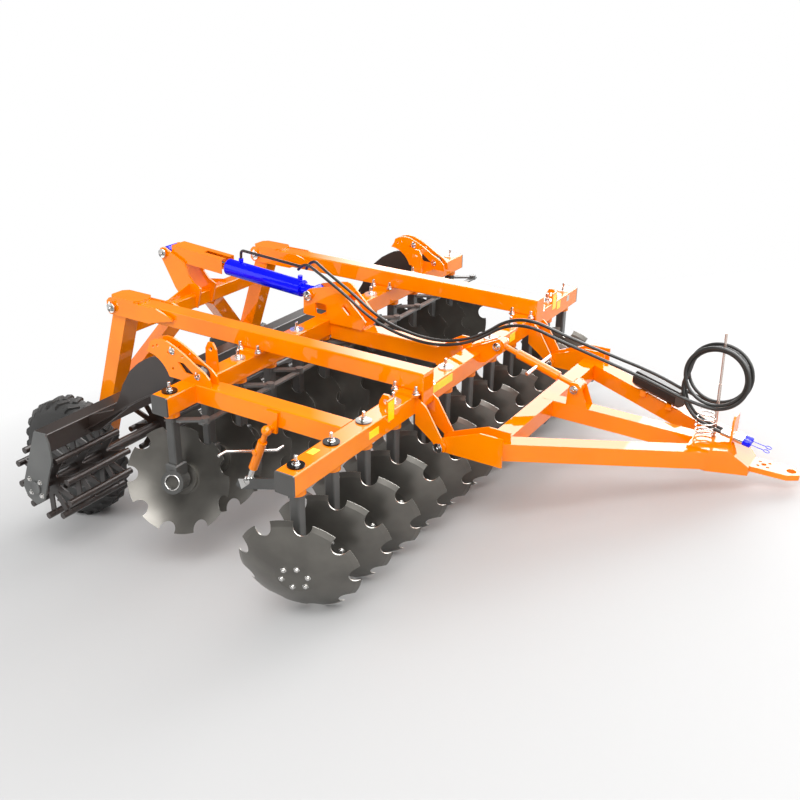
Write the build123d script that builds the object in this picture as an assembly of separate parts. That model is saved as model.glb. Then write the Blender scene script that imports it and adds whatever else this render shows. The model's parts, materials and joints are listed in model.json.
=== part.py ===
"""Trailed disc harrow with 24 single discs, a cage roller, transport wheels and an A-frame drawbar.

The model is laid out in a level frame: X forward from the rear row of posts, Y to the left from
the centre line, Z up from the top of the cross beams. One placement then parks it nose down, on its
tyres and its front discs, with the origin at the towing eye. Sizes are in millimetres.
"""
from build123d import *
from math import cos, degrees, hypot, pi, radians, sin, sqrt, tan
import os

# Cross beams and their posts
beam_width = 120
beam_height = 118
beam_wall = 8
row_spacing = 1150
cap_thickness = 10
post_count = 12
post_spacing = 300
front_row_offset = -1886
rear_row_offset = -1567
row_length = (post_count - 1) * post_spacing
front_overhang_right, front_overhang_left = 89, 124
rear_overhang_right, rear_overhang_left = 82, 104
front_beam_right = front_row_offset - front_overhang_right
front_beam_left = front_row_offset + row_length + front_overhang_left
rear_beam_right = rear_row_offset - rear_overhang_right
rear_beam_left = rear_row_offset + row_length + rear_overhang_left
post_width = 62
collar_radius, collar_height = 48, 34
mount_plate_radius, mount_plate_thickness = 46, 9

# Discs and hubs
disc_radius = 330
disc_thickness = 6
dish_depth = 88
disc_flat_radius = 105
rim_bevel = 24
notch_count = 9
notch_radius = 50
notch_circle = 322
hub_drop = 580
hub_radius, hub_bore = 62, 40
hub_back, hub_front = 78, 44
flange_radius, flange_thickness = 92, 16
spindle_clearance = 0.05
disc_normal = Vector(0.31, -0.905, -0.29).normalized()

# Fore-and-aft beams
top_beam_offset = 768
top_beam_width, top_beam_height = 112, 116
top_beam_base = 17
top_beam_front, top_beam_rear = 1239, -1050
fork_gap, fork_plate = 136, 16
fork_rear, fork_front, fork_tip = -1262, -840, -668
fork_cap_thickness = 17
spine_width, spine_height, spine_top = 120, 120, -25
side_beam_inner, side_beam_outer = -1295, -1415
side_beam_height = 118
clamp_length, clamp_width, clamp_thickness = 230, 168, 17

# Transport wheel frame
hinge_x, hinge_z = -1206, 72
axle_x, axle_z = -1607, -1122
leg_width, leg_depth = 130, 118
hinge_boss_radius = 55
hinge_pin_radius = 22
wheel_offset = 1000
tyre_radius, tyre_width = 451, 248
rim_radius = 235
cross_tube = 100
cross_tube_x, cross_tube_z = -1208, -95
brace_width, brace_depth = 112, 96
lever_gap, lever_thickness = 150, 14
rod_pin_x, rod_pin_z = -1450, 233
pin_radius = 20
axle_pin_radius = 30

# Cylinder and its tower
tower_pin_x, tower_pin_z = -108, 145
tower_gap, tower_plate = 124, 16
barrel_radius = 60
barrel_rear, barrel_front = 782, 110
rod_radius = 30
lock_inner_half, lock_wall = 64, 5
lock_front = 795
eye_radius, eye_width = 42, 110
stroke = 225

# Roller
sector_offset = 1370
sector_plate, sector_gap = 12, 50
arm_thickness = 40
roller_pivot_x, roller_pivot_z = 74, 53
roller_x, roller_z = -1120, -895
cage_radius, cage_bar_radius, cage_bar_count = 248, 22, 10
shaft_radius = 38
roller_end = 1740
end_plate = 12
frame_tube_width, frame_tube_height = 120, 130
frame_tube_front, frame_tube_top = -945, -470
cage_sections = ((-1680, -1142), (-685, 685), (1142, 1680))
spider_thickness = 10

# Drawbar
drawbar_pin_x, drawbar_pin_z = 1372, -285
drawbar_rear_offset = 768
drawbar_height, drawbar_tube_width = 106, 104
drawbar_top = -205
nose_rear, nose_front = 2600, 2930
nose_width = 190
hitch_front, hitch_width, hitch_thickness = 3190, 130, 32
hitch_top = -301
eye_x, eye_bore = 3141, 26
bolt_circle_x, bolt_circle_radius, bolt_hole = 2993, 38, 9
link_rear_x, link_rear_z = 1328, 67
link_front_x, link_front_z = 1857, -98
link_lug_outer = 46
tool_tube_radius, tool_tube_length = 55, 380
tool_saddle_top = -196

# Hoses
hose_diameter = 20
coil_x, coil_z, coil_radius = 2669, 164, 182
coil_width = 44
coupler_radius = 15


def box(x0, x1, y0, y1, z0, z1):
    """Block between two corners."""
    return Pos((x0 + x1) / 2, (y0 + y1) / 2, (z0 + z1) / 2) * Box(x1 - x0, y1 - y0, z1 - z0)


def tube_along_y(y0, y1, x_centre, top, width, height, wall):
    """Box tube that runs across the machine."""
    outer = box(x_centre - width / 2, x_centre + width / 2, y0, y1, top - height, top)
    outer = fillet(outer.edges().filter_by(Axis.Y), wall)
    return outer - box(x_centre - width / 2 + wall, x_centre + width / 2 - wall, y0, y1,
                       top - height + wall, top - wall)


def tube_along_x(x0, x1, y_centre, top, width, height, wall):
    """Box tube that runs fore and aft."""
    outer = box(x0, x1, y_centre - width / 2, y_centre + width / 2, top - height, top)
    outer = fillet(outer.edges().filter_by(Axis.X), wall)
    return outer - box(x0, x1, y_centre - width / 2 + wall, y_centre + width / 2 - wall,
                       top - height + wall, top - wall)


def side_shape(profile, y0, y1):
    """Flat drawing of X and Z pulled across the machine from y0 to y1."""
    return extrude(Plane.XZ.offset(-y0) * profile, amount=y1 - y0, dir=(0, 1, 0))


def outline(*points):
    return Polygon(*points, align=None)


def rod(start, end, radius):
    """Round bar between two points."""
    start, end = Vector(*start), Vector(*end)
    plane = Plane(origin=start, z_dir=end - start)
    return extrude(plane * Circle(radius), amount=(end - start).length)


def bar(start, end, width, height, roll=(0, 0, 1)):
    """Square bar between two points; its height lies along roll."""
    start, end = Vector(*start), Vector(*end)
    along = (end - start).normalized()
    side = Vector(*roll).cross(along).normalized()
    plane = Plane(origin=start, x_dir=side, z_dir=along)
    return extrude(plane * Rectangle(width, height), amount=(end - start).length)


def cross_pin(x, z, y0, y1, radius):
    return side_shape(Pos(x, z) * Circle(radius), y0, y1)


def front_posts_y():
    return [front_row_offset + post_spacing * i for i in range(post_count)]


def rear_posts_y():
    return [rear_row_offset + post_spacing * i for i in range(post_count)]


def hub_plane(x, y, row):
    """Plane at a hub's centre whose normal points out of the disc's bulging side."""
    turn = 1 if row == "front" else -1
    normal = Vector(turn * disc_normal.X, turn * disc_normal.Y, disc_normal.Z)
    return Plane(origin=(x, y, -hub_drop), x_dir=Vector(-normal.Y, normal.X, 0), z_dir=normal)


# Rest attitude: nose down until the tyres and the front discs touch one level floor
def floor_heights(angle):
    tyre_low = -axle_x * sin(angle) + axle_z * cos(angle) - tyre_radius
    lean = -disc_normal.X * sin(angle) + disc_normal.Z * cos(angle)
    disc_low = -row_spacing * sin(angle) - hub_drop * cos(angle) - disc_radius * sqrt(1 - lean**2)
    return tyre_low, disc_low


low_angle, high_angle = 0.0, radians(30)
for _ in range(40):
    park_angle = (low_angle + high_angle) / 2
    tyre_low, disc_low = floor_heights(park_angle)
    if tyre_low < disc_low:
        low_angle = park_angle
    else:
        high_angle = park_angle
eye_z = hitch_top - hitch_thickness / 2
placement = Rotation(0, degrees(park_angle), 0) * Pos(-eye_x, 0, -eye_z)


# Cross beams
def cross_beams():
    front = tube_along_y(front_beam_right, front_beam_left, row_spacing, 0, beam_width, beam_height,
                         beam_wall)
    rear = tube_along_y(rear_beam_right, rear_beam_left, 0, 0, beam_width, beam_height, beam_wall)
    caps = []
    beam_ends = ((row_spacing, front_beam_right, -1), (row_spacing, front_beam_left, 1),
                 (0, rear_beam_right, -1), (0, rear_beam_left, 1))
    for x, y, out in beam_ends:
        near, far = sorted((y, y + out * cap_thickness))
        cap = box(x - beam_width / 2, x + beam_width / 2, near, far, -beam_height, 0)
        caps.append(fillet(cap.edges().filter_by(Axis.Y), beam_wall))
    return front, rear, caps


# Posts with their hub housings, collars and top plates
def covered(row, y):
    """Whether a clamp, the tower or a sector plate already sits on the beam above this post."""
    reach = mount_plate_radius + 4
    under_clamp = abs(abs(y) - top_beam_offset) < clamp_length / 2 + reach
    under_tower = row == "rear" and abs(y) < tower_gap / 2 + tower_plate + reach
    sector_half = sector_gap / 2 + sector_plate
    under_sector = row == "rear" and abs(abs(y) - sector_offset) < sector_half + reach
    under_lug = row == "front" and abs(y) < link_lug_outer + reach
    return under_clamp or under_tower or under_sector or under_lug


def post_parts():
    posts, mounts = [], []
    foot = hub_drop - hub_radius + 14
    rows = (("front", row_spacing, front_posts_y()), ("rear", 0, rear_posts_y()))
    for row, x, places in rows:
        for y in places:
            stem = Pos(x, y, -beam_height - collar_height / 2) * Cylinder(post_width / 2 - 6, collar_height)
            shank = box(x - post_width / 2, x + post_width / 2, y - post_width / 2, y + post_width / 2,
                        -foot, -beam_height - collar_height)
            shank = fillet(shank.edges().filter_by(Axis.Z), 12)
            plane = hub_plane(x, y, row)
            housing = extrude(plane.offset(-hub_back) * Circle(hub_radius), amount=hub_back + hub_front)
            collar_ring = extrude(plane.offset(-hub_back) * Circle(hub_radius + 9), amount=26)
            saddle = box(x - 42, x + 42, y - 46, y + 46, -foot, -foot + 74)
            saddle = chamfer(saddle.edges().group_by(Axis.Z)[-1], 8)
            bore = extrude(plane.offset(-hub_back) * Circle(hub_bore), amount=hub_back + hub_front)
            posts.append(stem + shank + saddle + housing + collar_ring - bore)
            collar = Pos(x, y, -beam_height - collar_height / 2) * (
                Cylinder(collar_radius, collar_height) - Cylinder(post_width / 2 - 6, collar_height))
            mounts.append(collar)
            if covered(row, y):
                continue
            plate = Pos(x, y, mount_plate_thickness / 2) * Cylinder(mount_plate_radius, mount_plate_thickness)
            stud = Pos(x, y, mount_plate_thickness + 9) * Cylinder(13, 18)
            mounts.append(plate + stud)
    return posts, mounts


# Notched dished disc with its flange and spindle, on its own axis
def disc_on_axis():
    sphere_drop = (disc_radius**2 - disc_flat_radius**2 - dish_depth**2) / (2 * dish_depth)
    sphere_radius = hypot(disc_radius, sphere_drop)

    def height(radius):
        return sqrt(sphere_radius**2 - radius**2) - sphere_drop

    middle = (disc_flat_radius + disc_radius - rim_bevel) / 2
    bevel_start = disc_radius - rim_bevel
    outer = [Line((0, dish_depth), (disc_flat_radius, dish_depth)),
             ThreePointArc((disc_flat_radius, dish_depth), (middle, height(middle)),
                           (bevel_start, height(bevel_start))),
             Line((bevel_start, height(bevel_start)), (disc_radius, 1 - disc_thickness)),
             Line((disc_radius, 1 - disc_thickness), (disc_radius, -disc_thickness)),
             ThreePointArc((disc_radius, -disc_thickness), (middle, height(middle) - disc_thickness),
                           (disc_flat_radius, dish_depth - disc_thickness)),
             Line((disc_flat_radius, dish_depth - disc_thickness), (0, dish_depth - disc_thickness)),
             Line((0, dish_depth - disc_thickness), (0, dish_depth))]
    disc = revolve(Plane.XZ * make_face(outer), Axis.Z)
    for i in range(notch_count):
        disc -= Rot(0, 0, 360 * i / notch_count) * Pos(notch_circle, 0, 0) * Cylinder(notch_radius, 90)
    flange_top = dish_depth - disc_thickness
    flange = Pos(0, 0, flange_top - flange_thickness / 2) * Cylinder(flange_radius, flange_thickness)
    spindle_bottom = 18 - hub_back
    spindle = Pos(0, 0, (spindle_bottom + flange_top) / 2) * Cylinder(
        hub_bore - spindle_clearance, flange_top - spindle_bottom)
    return disc + flange + spindle


# Top beams with hinge forks
def top_beams():
    sides = []
    inner = top_beam_offset - fork_gap / 2
    outer = top_beam_offset + fork_gap / 2
    top = top_beam_base + top_beam_height
    for side in (-1, 1):
        beam = tube_along_x(top_beam_rear, top_beam_front, side * top_beam_offset, top,
                            top_beam_width, top_beam_height, beam_wall)
        end = box(top_beam_front, top_beam_front + 12, side * top_beam_offset - 56,
                  side * top_beam_offset + 56, top_beam_base - 90, top)
        profile = outline((fork_rear, top_beam_base + 22), (fork_rear, top - 24), (fork_rear + 24, top),
                          (fork_front + 40, top), (fork_tip, 96), (fork_tip + 10, 74), (fork_front, 30),
                          (fork_front - 30, top_beam_base), (fork_rear + 22, top_beam_base))
        profile -= Pos(hinge_x, hinge_z) * Circle(hinge_pin_radius)
        forks = []
        for y0 in (inner - fork_plate, outer):
            forks.append(side_shape(profile, side * y0, side * (y0 + fork_plate)) if side > 0 else
                         side_shape(profile, -(y0 + fork_plate), -y0))
        filler = box(top_beam_rear, fork_front - 60, side * top_beam_offset - fork_gap / 2,
                     side * top_beam_offset + fork_gap / 2, top_beam_base + 6, top - 6)
        cap_y = side * top_beam_offset
        cap = box(hinge_x - 36, hinge_x + 236, cap_y - fork_gap / 2 - fork_plate,
                  cap_y + fork_gap / 2 + fork_plate, top, top + fork_cap_thickness)
        cap = chamfer(cap.edges().filter_by(Axis.Z), 34)
        sides.append(beam + end + forks[0] + forks[1] + filler + cap)
    return sides


# Spine, side beam and clamps
def middle_beams():
    spine = tube_along_x(beam_width / 2, row_spacing - 246, 0, spine_top, spine_width, spine_height,
                         beam_wall)
    gusset = outline((row_spacing - 246, spine_top - spine_height), (row_spacing - 246, spine_top),
                     (row_spacing - 130, 42), (row_spacing - 60, 42), (row_spacing - 60, -150),
                     (row_spacing - 150, -170))
    for y in (-70, 58):
        spine += side_shape(gusset, y, y + 12)
    spine += box(row_spacing - 246, row_spacing - 60, -58, 58, -110, -96)
    spine += box(row_spacing - 246, row_spacing - 236, -58, 58, spine_top - spine_height, spine_top)
    side_beam = tube_along_x(60, row_spacing - 60, (side_beam_inner + side_beam_outer) / 2, 0,
                             side_beam_inner - side_beam_outer, side_beam_height, beam_wall)
    clamps = []
    for x in (0, row_spacing):
        for side in (-1, 1):
            y = side * top_beam_offset
            plate = box(x - clamp_width / 2, x + clamp_width / 2, y - clamp_length / 2, y + clamp_length / 2,
                        0, clamp_thickness)
            clamps.append(chamfer(plate.edges().filter_by(Axis.Z), 26))
    return spine, side_beam, clamps


# Tower that holds the cylinder's front pin
def tower():
    profile = outline((-160, 7), (-153, 145), (-108, 190), (20, 224), (120, 240), (150, 234), (360, 37),
                      (330, spine_top), (62, spine_top), (62, 0), (-62, 0), (-140, 0))
    profile = fillet(profile.vertices().sort_by_distance((-108, 190))[0], 30)
    window = Pos(-10, 62) * RectangleRounded(96, 84, 16)
    slot = Pos(205, 92) * Rot(0, 0, -44) * RectangleRounded(84, 30, 14)
    profile = profile - window - slot - Pos(tower_pin_x, tower_pin_z) * Circle(pin_radius)
    parts = [side_shape(profile, -tower_gap / 2 - tower_plate, -tower_gap / 2),
             side_shape(profile, tower_gap / 2, tower_gap / 2 + tower_plate)]
    brace = bar((70, 0, 190), (190, 0, 186), tower_gap, 12)
    pin = cross_pin(tower_pin_x, tower_pin_z, -tower_gap / 2 - tower_plate - 14,
                    tower_gap / 2 + tower_plate + 14, pin_radius)
    foot = box(64, 330, -tower_gap / 2, tower_gap / 2, spine_top, spine_top + 12)
    return parts[0] + parts[1] + brace + foot + pin


# Lever arms and tie bars that turn all posts of a row together
def tie_linkage():
    pieces = []
    level = -beam_height - collar_height - 14
    reach_x, reach_y = 170, 96
    rows = ((row_spacing, front_posts_y(), -1), (0, rear_posts_y(), 1))
    for x, places, inward in rows:
        tie_x = x + inward * reach_x
        tie = box(tie_x - 20, tie_x + 20, places[0] + reach_y - 40, places[-1] + reach_y + 40,
                  level - 26, level - 14)
        for y in places:
            arm = bar((x + inward * 34, y, level - 7), (tie_x, y + reach_y, level - 7), 44, 14)
            tie += arm
            tie += Pos(tie_x, y + reach_y, level - 10) * Cylinder(26, 36)
            near, far = sorted((x, x + inward * 34))
            tie += box(near, far, y - 30, y + 30, level - 14, level)
        for y in places:
            tie -= box(x - post_width / 2, x + post_width / 2, y - post_width / 2, y + post_width / 2,
                       level - 60, level + 60)
        pieces.append(tie)
    return pieces


# Turnbuckle and lever that shift the right-hand tie bars
def angle_adjuster():
    y = -1480
    top_x, top_z = 632, -117
    low_x, low_z = 483, -470
    grip_x, grip_z = 560, -262
    ears = outline((top_x - 42, -20), (top_x + 42, -20), (top_x + 28, -150), (top_x - 28, -150))
    bracket = side_shape(ears, side_beam_outer - 16, side_beam_outer)
    bracket += cross_pin(top_x, top_z, y - 20, side_beam_outer, 16)
    screw = rod((top_x, y, top_z), (low_x, y, low_z), 17)
    sleeve = rod((top_x - 32, y, top_z - 76), (low_x + 37, y, low_z + 88), 27)
    handle = rod((grip_x, y - 190, grip_z), (grip_x, y + 60, grip_z), 11)
    knob = Pos(top_x, y, top_z) * Sphere(30)
    ball = Pos(low_x, y, low_z) * Sphere(31)
    lever = side_shape(outline((400, -520), (420, -474), (760, -370), (800, -384), (790, -432), (440, -536)),
                       y - 22, y - 8)
    stay = bar((785, y - 15, -400), (1150 - post_width / 2, front_row_offset + post_spacing, -400), 40, 14)
    stay -= box(row_spacing - post_width / 2, row_spacing, y - 200, y, -500, -300)
    return bracket + screw + sleeve + handle + knob + ball + lever + stay


# Orange hole-row plates that hold the roller arms
def roller_sectors():
    arc_x, arc_z, arc_r = -330, -62, 187
    body = outline((-299, 167), (-290, 196), (-253, 216), (-211, 226), (-160, 224), (-94, 201), (-20, 165),
                   (53, 121), (126, 84), (162, 50), (171, 8), (168, 0), (-61, 0),
                   (-135, 0), (-150, 0), (-330, 120))
    body -= Pos(arc_x, arc_z) * Circle(arc_r)
    body -= outline((-78, 112), (-30, 112), (52, 52), (-24, 52))
    holes = ((-266, 167), (-232, 181), (-147, 155), (-113, 172), (-37, 150), (-118, 60))
    for x, z in holes:
        body -= Pos(x, z) * Circle(8)
    pieces = []
    for side in (-1, 1):
        for step in (-1, 1):
            centre = side * sector_offset + step * (sector_gap + sector_plate) / 2
            pieces.append(side_shape(body, centre - sector_plate / 2, centre + sector_plate / 2))
    return pieces


# Roller arms, cross tube and end plates
def roller_frame():
    level = frame_tube_top - frame_tube_height
    tube_x = frame_tube_front - frame_tube_width / 2
    tube = tube_along_y(-roller_end + end_plate, roller_end - end_plate, tube_x, frame_tube_top,
                        frame_tube_width, frame_tube_height, beam_wall)
    arm = outline((-66, 6), (-120, 6), (-180, -88), (-500, -262), (frame_tube_front + 70, level + 36),
                  (frame_tube_front, level + 12), (frame_tube_front, frame_tube_top), (-700, -372),
                  (-626, -252), (-587, -167), (-510, -55), (-430, 16), (-360, 59), (-310, 84), (-240, 102),
                  (-150, 104), (roller_pivot_x, 98), (roller_pivot_x + 45, 53), (roller_pivot_x, 8))
    flange = outline((-200, -96), (-200, -84), (-500, -258), (frame_tube_front, level + 48),
                     (frame_tube_front, level + 36), (-500, -270))
    for side in (-1, 1):
        y = side * sector_offset
        tube += side_shape(arm, y - arm_thickness / 2, y + arm_thickness / 2)
        tube += side_shape(flange, y - 60, y + 60)
        tube += cross_pin(roller_pivot_x, roller_pivot_z, y - sector_gap / 2, y + sector_gap / 2, 40)
    plate = outline((frame_tube_front - 8, frame_tube_top + 6), (frame_tube_front - 112, frame_tube_top - 4),
                    (roller_x - 128, roller_z - 20), (roller_x - 100, roller_z - 96),
                    (roller_x - 20, roller_z - 136), (roller_x + 62, roller_z - 84),
                    (frame_tube_front + 22, frame_tube_top - 176),
                    (frame_tube_front + 16, frame_tube_top - 60))
    for y0 in (-roller_end, roller_end - end_plate):
        tube += side_shape(plate, y0, y0 + end_plate)
    for y0 in (-roller_end + end_plate, roller_end - end_plate - 34):
        ring = Pos(roller_x, roller_z) * (Circle(76) - Circle(shaft_radius + spindle_clearance))
        tube += side_shape(ring, y0, y0 + 34)
    return tube


# Cage of the roller: one shaft with long bars and spiders in three sections
def roller_cage():
    end = roller_end - end_plate - 4
    pieces = [cross_pin(roller_x, roller_z, -end, end, shaft_radius)]
    spider = Circle(96)
    for i in range(cage_bar_count):
        arm = Pos(cage_radius / 2, 0) * Rectangle(cage_radius, 46)
        spider += Rot(0, 0, 360 * (i + 0.5) / cage_bar_count) * arm
    spider -= Circle(shaft_radius + spindle_clearance)
    spider = Pos(roller_x, roller_z) * spider
    for y0, y1 in cage_sections:
        section = None
        for y in (y0 + 46, (y0 + y1) / 2, y1 - 46 - spider_thickness):
            plate = side_shape(spider, y, y + spider_thickness)
            section = section + plate if section else plate
        for i in range(cage_bar_count):
            angle = radians(360 * (i + 0.5) / cage_bar_count)
            x = roller_x + cage_radius * cos(angle)
            z = roller_z + cage_radius * sin(angle)
            section += side_shape(Pos(x, z) * Circle(cage_bar_radius), y0, y1)
        pieces.append(section)
    return pieces


# Lifting eyes and drawbar lugs
def beam_lugs():
    pieces = []
    for x, places, top, foot in ((0, (-1198, 1198), 182, 0), (row_spacing, (-1058, 1193), 72, 0)):
        for y in places:
            eye = outline((x - 46, foot), (x + 46, foot), (x + 40, top - 40), (x + 18, top), (x - 18, top),
                          (x - 40, top - 40))
            hole = Pos(x, top - 40) * Circle(15)
            pieces.append(side_shape(eye - hole, y - 8, y + 8))
    for side in (-1, 1):
        lug = outline((row_spacing + 60, -6), (row_spacing + 130, -60),
                      (drawbar_pin_x + 40, drawbar_pin_z + 10),
                      (drawbar_pin_x + 34, drawbar_pin_z - 26), (drawbar_pin_x - 18, drawbar_pin_z - 26),
                      (drawbar_pin_x - 44, drawbar_pin_z + 20),
                      (row_spacing + 60, -beam_height - 60))
        lug -= Pos(drawbar_pin_x, drawbar_pin_z) * Circle(pin_radius)
        for y in (side * drawbar_rear_offset - 74, side * drawbar_rear_offset + 62):
            pieces.append(side_shape(lug, y, y + 12))
    link_lug = outline((row_spacing - 50, 0), (row_spacing + 60, 0), (row_spacing + 60, -70),
                       (row_spacing + 100, -60), (link_rear_x + 34, link_rear_z - 20),
                       (link_rear_x + 20, link_rear_z + 34), (link_rear_x - 20, link_rear_z + 34))
    link_lug -= Pos(link_rear_x, link_rear_z) * Circle(pin_radius)
    for y in (-link_lug_outer, link_lug_outer - 12):
        pieces.append(side_shape(link_lug, y, y + 12))
    return pieces


# A-frame drawbar
def drawbar():
    mid = drawbar_top - drawbar_height / 2
    body = box(1620, 1728, -drawbar_rear_offset - 6, drawbar_rear_offset + 6, mid - 52, mid + 52)
    cheek = outline((drawbar_pin_x - 34, drawbar_pin_z - 6), (drawbar_pin_x - 34, drawbar_pin_z + 22),
                    (drawbar_pin_x - 10, drawbar_pin_z + 44), (1620, -140), (1762, -140), (1762, -318),
                    (drawbar_pin_x + 30, drawbar_pin_z - 34), (drawbar_pin_x - 8, drawbar_pin_z - 30))
    cheek -= Pos(drawbar_pin_x, drawbar_pin_z) * Circle(pin_radius)
    for side in (-1, 1):
        for y in (side * drawbar_rear_offset - 56, side * drawbar_rear_offset + 44):
            body += side_shape(cheek, y, y + 12)
        body += bar((1650, side * (drawbar_rear_offset - 30), mid), (2700, side * 150, mid - 12),
                    drawbar_tube_width, drawbar_height)
        body += cross_pin(drawbar_pin_x, drawbar_pin_z, side * drawbar_rear_offset - 84,
                          side * drawbar_rear_offset + 84, pin_radius)
    body += bar((1650, 0, mid), (2700, 0, mid - 12), 96, drawbar_height)
    nose = Polygon((nose_rear, -nose_width), (nose_rear + 120, -nose_width), (nose_front, -88),
                   (nose_front, 88), (nose_rear + 120, nose_width), (nose_rear, nose_width), align=None)
    front_slope = outline((nose_rear - 40, drawbar_top), (nose_front - 114, drawbar_top),
                          (nose_front, hitch_top), (nose_front, hitch_top - hitch_thickness - 20),
                          (nose_rear - 40, drawbar_top - drawbar_height - 14))
    body += extrude(Plane.XY.offset(-400) * nose, amount=260) & side_shape(front_slope, -240, 240)
    lug = outline((1808, drawbar_top - 10), (1950, drawbar_top - 10), (link_front_x + 40, link_front_z + 16),
                  (link_front_x + 14, link_front_z + 40), (link_front_x - 22, link_front_z + 38),
                  (link_front_x - 40, link_front_z))
    lug -= Pos(link_front_x, link_front_z) * Circle(pin_radius)
    for y in (-link_lug_outer, link_lug_outer - 12):
        body += side_shape(lug, y, y + 12)
    for x, y in ((2150, 420), (2350, 308)):
        body += box(x - 18, x + 18, y - 40, y + 40, drawbar_top - 30, tool_saddle_top)
    return body


def hitch_plate():
    tongue = Polygon((nose_front, -hitch_width / 2), (hitch_front - 60, -hitch_width / 2), (hitch_front, -26),
                     (hitch_front, 26), (hitch_front - 60, hitch_width / 2), (nose_front, hitch_width / 2),
                     align=None)
    tongue -= Pos(eye_x, 0) * Circle(eye_bore)
    tongue -= Pos(bolt_circle_x, 0) * Circle(15)
    for i in range(4):
        angle = radians(45 + 90 * i)
        tongue -= Pos(bolt_circle_x + bolt_circle_radius * cos(angle),
                      bolt_circle_radius * sin(angle)) * Circle(bolt_hole)
    return extrude(Plane.XY.offset(hitch_top) * tongue, amount=-hitch_thickness)


def top_link():
    ends = Vector(link_front_x - link_rear_x, 0, link_front_z - link_rear_z)
    along = ends.normalized()
    start, end = Vector(link_rear_x, 0, link_rear_z), Vector(link_front_x, 0, link_front_z)
    link = rod(tuple(start), tuple(end), 17)
    link += rod(tuple(start + along * 130), tuple(end - along * 130), 30)
    for x, z in ((link_rear_x, link_rear_z), (link_front_x, link_front_z)):
        link += cross_pin(x, z, -33, 33, 40)
        link += cross_pin(x, z, -58, 58, pin_radius)
    middle = start + ends * 0.5
    link += rod((middle.X, -170, middle.Z), (middle.X, 170, middle.Z), 11)
    return link


def tool_tube():
    level = tool_saddle_top + tool_tube_radius * cos(pi / 8)
    start = Vector(2090, 452, level)
    along = Vector(nose_rear + 100 - 1650, 150 - drawbar_rear_offset + 30, 0).normalized()
    plane = Plane(origin=start, x_dir=(-along.Y, along.X, 0), z_dir=along)
    return extrude(plane * RegularPolygon(tool_tube_radius, 8, rotation=22.5), amount=tool_tube_length)


def hose_stand():
    plate_x, pole_x = 2800, 2700
    bend_x, bend_z = 2690, 120
    tip_x, tip_z = 2680, 420
    plate = box(plate_x, plate_x + 12, -60, 60, drawbar_top, -40)
    plate = fillet(plate.edges().filter_by(Axis.X).group_by(Axis.Z)[-1], 30)
    for hole in couplers(radius_growth=0.4):
        plate -= hole
    pole = box(pole_x - 12, pole_x + 12, -12, 12, drawbar_top, drawbar_top + 12)
    pole += rod((pole_x, 0, drawbar_top + 10), (bend_x, 0, bend_z), 9)
    pole += rod((bend_x, 0, bend_z), (tip_x, 0, tip_z), 7)
    pole += rod((tip_x, 0, tip_z - 6), (tip_x, 0, tip_z - 40), 7)
    return [plate, pole]


# Transport wheels
def wheel_frame():
    top_x, top_z = hinge_x + 41, 30
    foot_x, foot_z = axle_x + 47, axle_z + 22
    along = Vector(foot_x - top_x, foot_z - top_z).normalized()
    across = Vector(-along.Y, along.X) * (leg_depth / 2)
    top, foot = Vector(top_x, top_z), Vector(foot_x, foot_z) + along * 60
    leg = outline(*[(p.X, p.Y) for p in (top + across, foot + across, foot - across, top - across)])
    leg += Pos(hinge_x, hinge_z) * Circle(hinge_boss_radius)
    leg += outline((hinge_x, hinge_z + hinge_boss_radius), (hinge_x + 52, hinge_z + 18),
                   (top.X + across.X, top.Y + across.Y), (top.X - across.X, top.Y - across.Y),
                   (hinge_x - hinge_boss_radius, hinge_z))
    leg += Pos(axle_x, axle_z) * Circle(72)
    frame = tube_along_y(-(top_beam_offset - leg_width / 2), top_beam_offset - leg_width / 2, cross_tube_x,
                         cross_tube_z + cross_tube / 2, cross_tube, cross_tube, beam_wall)
    slope = along.X / -along.Y
    for side in (-1, 1):
        y = side * top_beam_offset
        frame += side_shape(leg, y - leg_width / 2, y + leg_width / 2)
        pin_out = fork_gap / 2 + fork_plate + 12
        frame += cross_pin(hinge_x, hinge_z, y - pin_out, y + pin_out, hinge_pin_radius - spindle_clearance)
        inner, outer = 150, top_beam_offset - leg_width / 2 + 4
        z0, z1 = cross_tube_z - 40, cross_tube_z - 40 - (outer - inner)
        x0 = cross_tube_x - 20
        x1 = x0 + slope * (z1 - z0) * -1
        frame += bar((x0, side * inner, z0), (x1, side * outer, z1), brace_depth, brace_width,
                     roll=(0, side * 0.7, 0.7))
        hub_end = wheel_offset + 96
        stub = sorted((side * (top_beam_offset + leg_width / 2), side * hub_end))
        frame += cross_pin(axle_x, axle_z, stub[0], stub[1], axle_pin_radius)
    lever = outline((rod_pin_x - 44, rod_pin_z - 14), (-1362, -20), (-1258, -146), (-1150, -146), (-1104, 10),
                    (-1170, 40), (-1217, 93), (-1232, 150), (-1262, 196), (rod_pin_x + 40, rod_pin_z + 30),
                    (rod_pin_x, rod_pin_z + 46), (rod_pin_x - 34, rod_pin_z + 32))
    lever -= Pos(rod_pin_x, rod_pin_z) * Circle(pin_radius)
    for y in (-lever_gap / 2 - lever_thickness, lever_gap / 2):
        frame += side_shape(lever, y, y + lever_thickness)
    pin_inner, pin_outer = lever_gap / 2, lever_gap / 2 + lever_thickness + 14
    for y0, y1 in ((-pin_outer, -pin_inner), (pin_inner, pin_outer)):
        frame += cross_pin(rod_pin_x, rod_pin_z, y0, y1, pin_radius)
    for side in (-1, 1):
        foot_plate = outline((side * 89, 30), (side * 89, -50), (side * 330, -50), (side * 300, -30))
        frame += extrude(Plane.YZ.offset(cross_tube_x - 6) * foot_plate, amount=12)
    return frame


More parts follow.
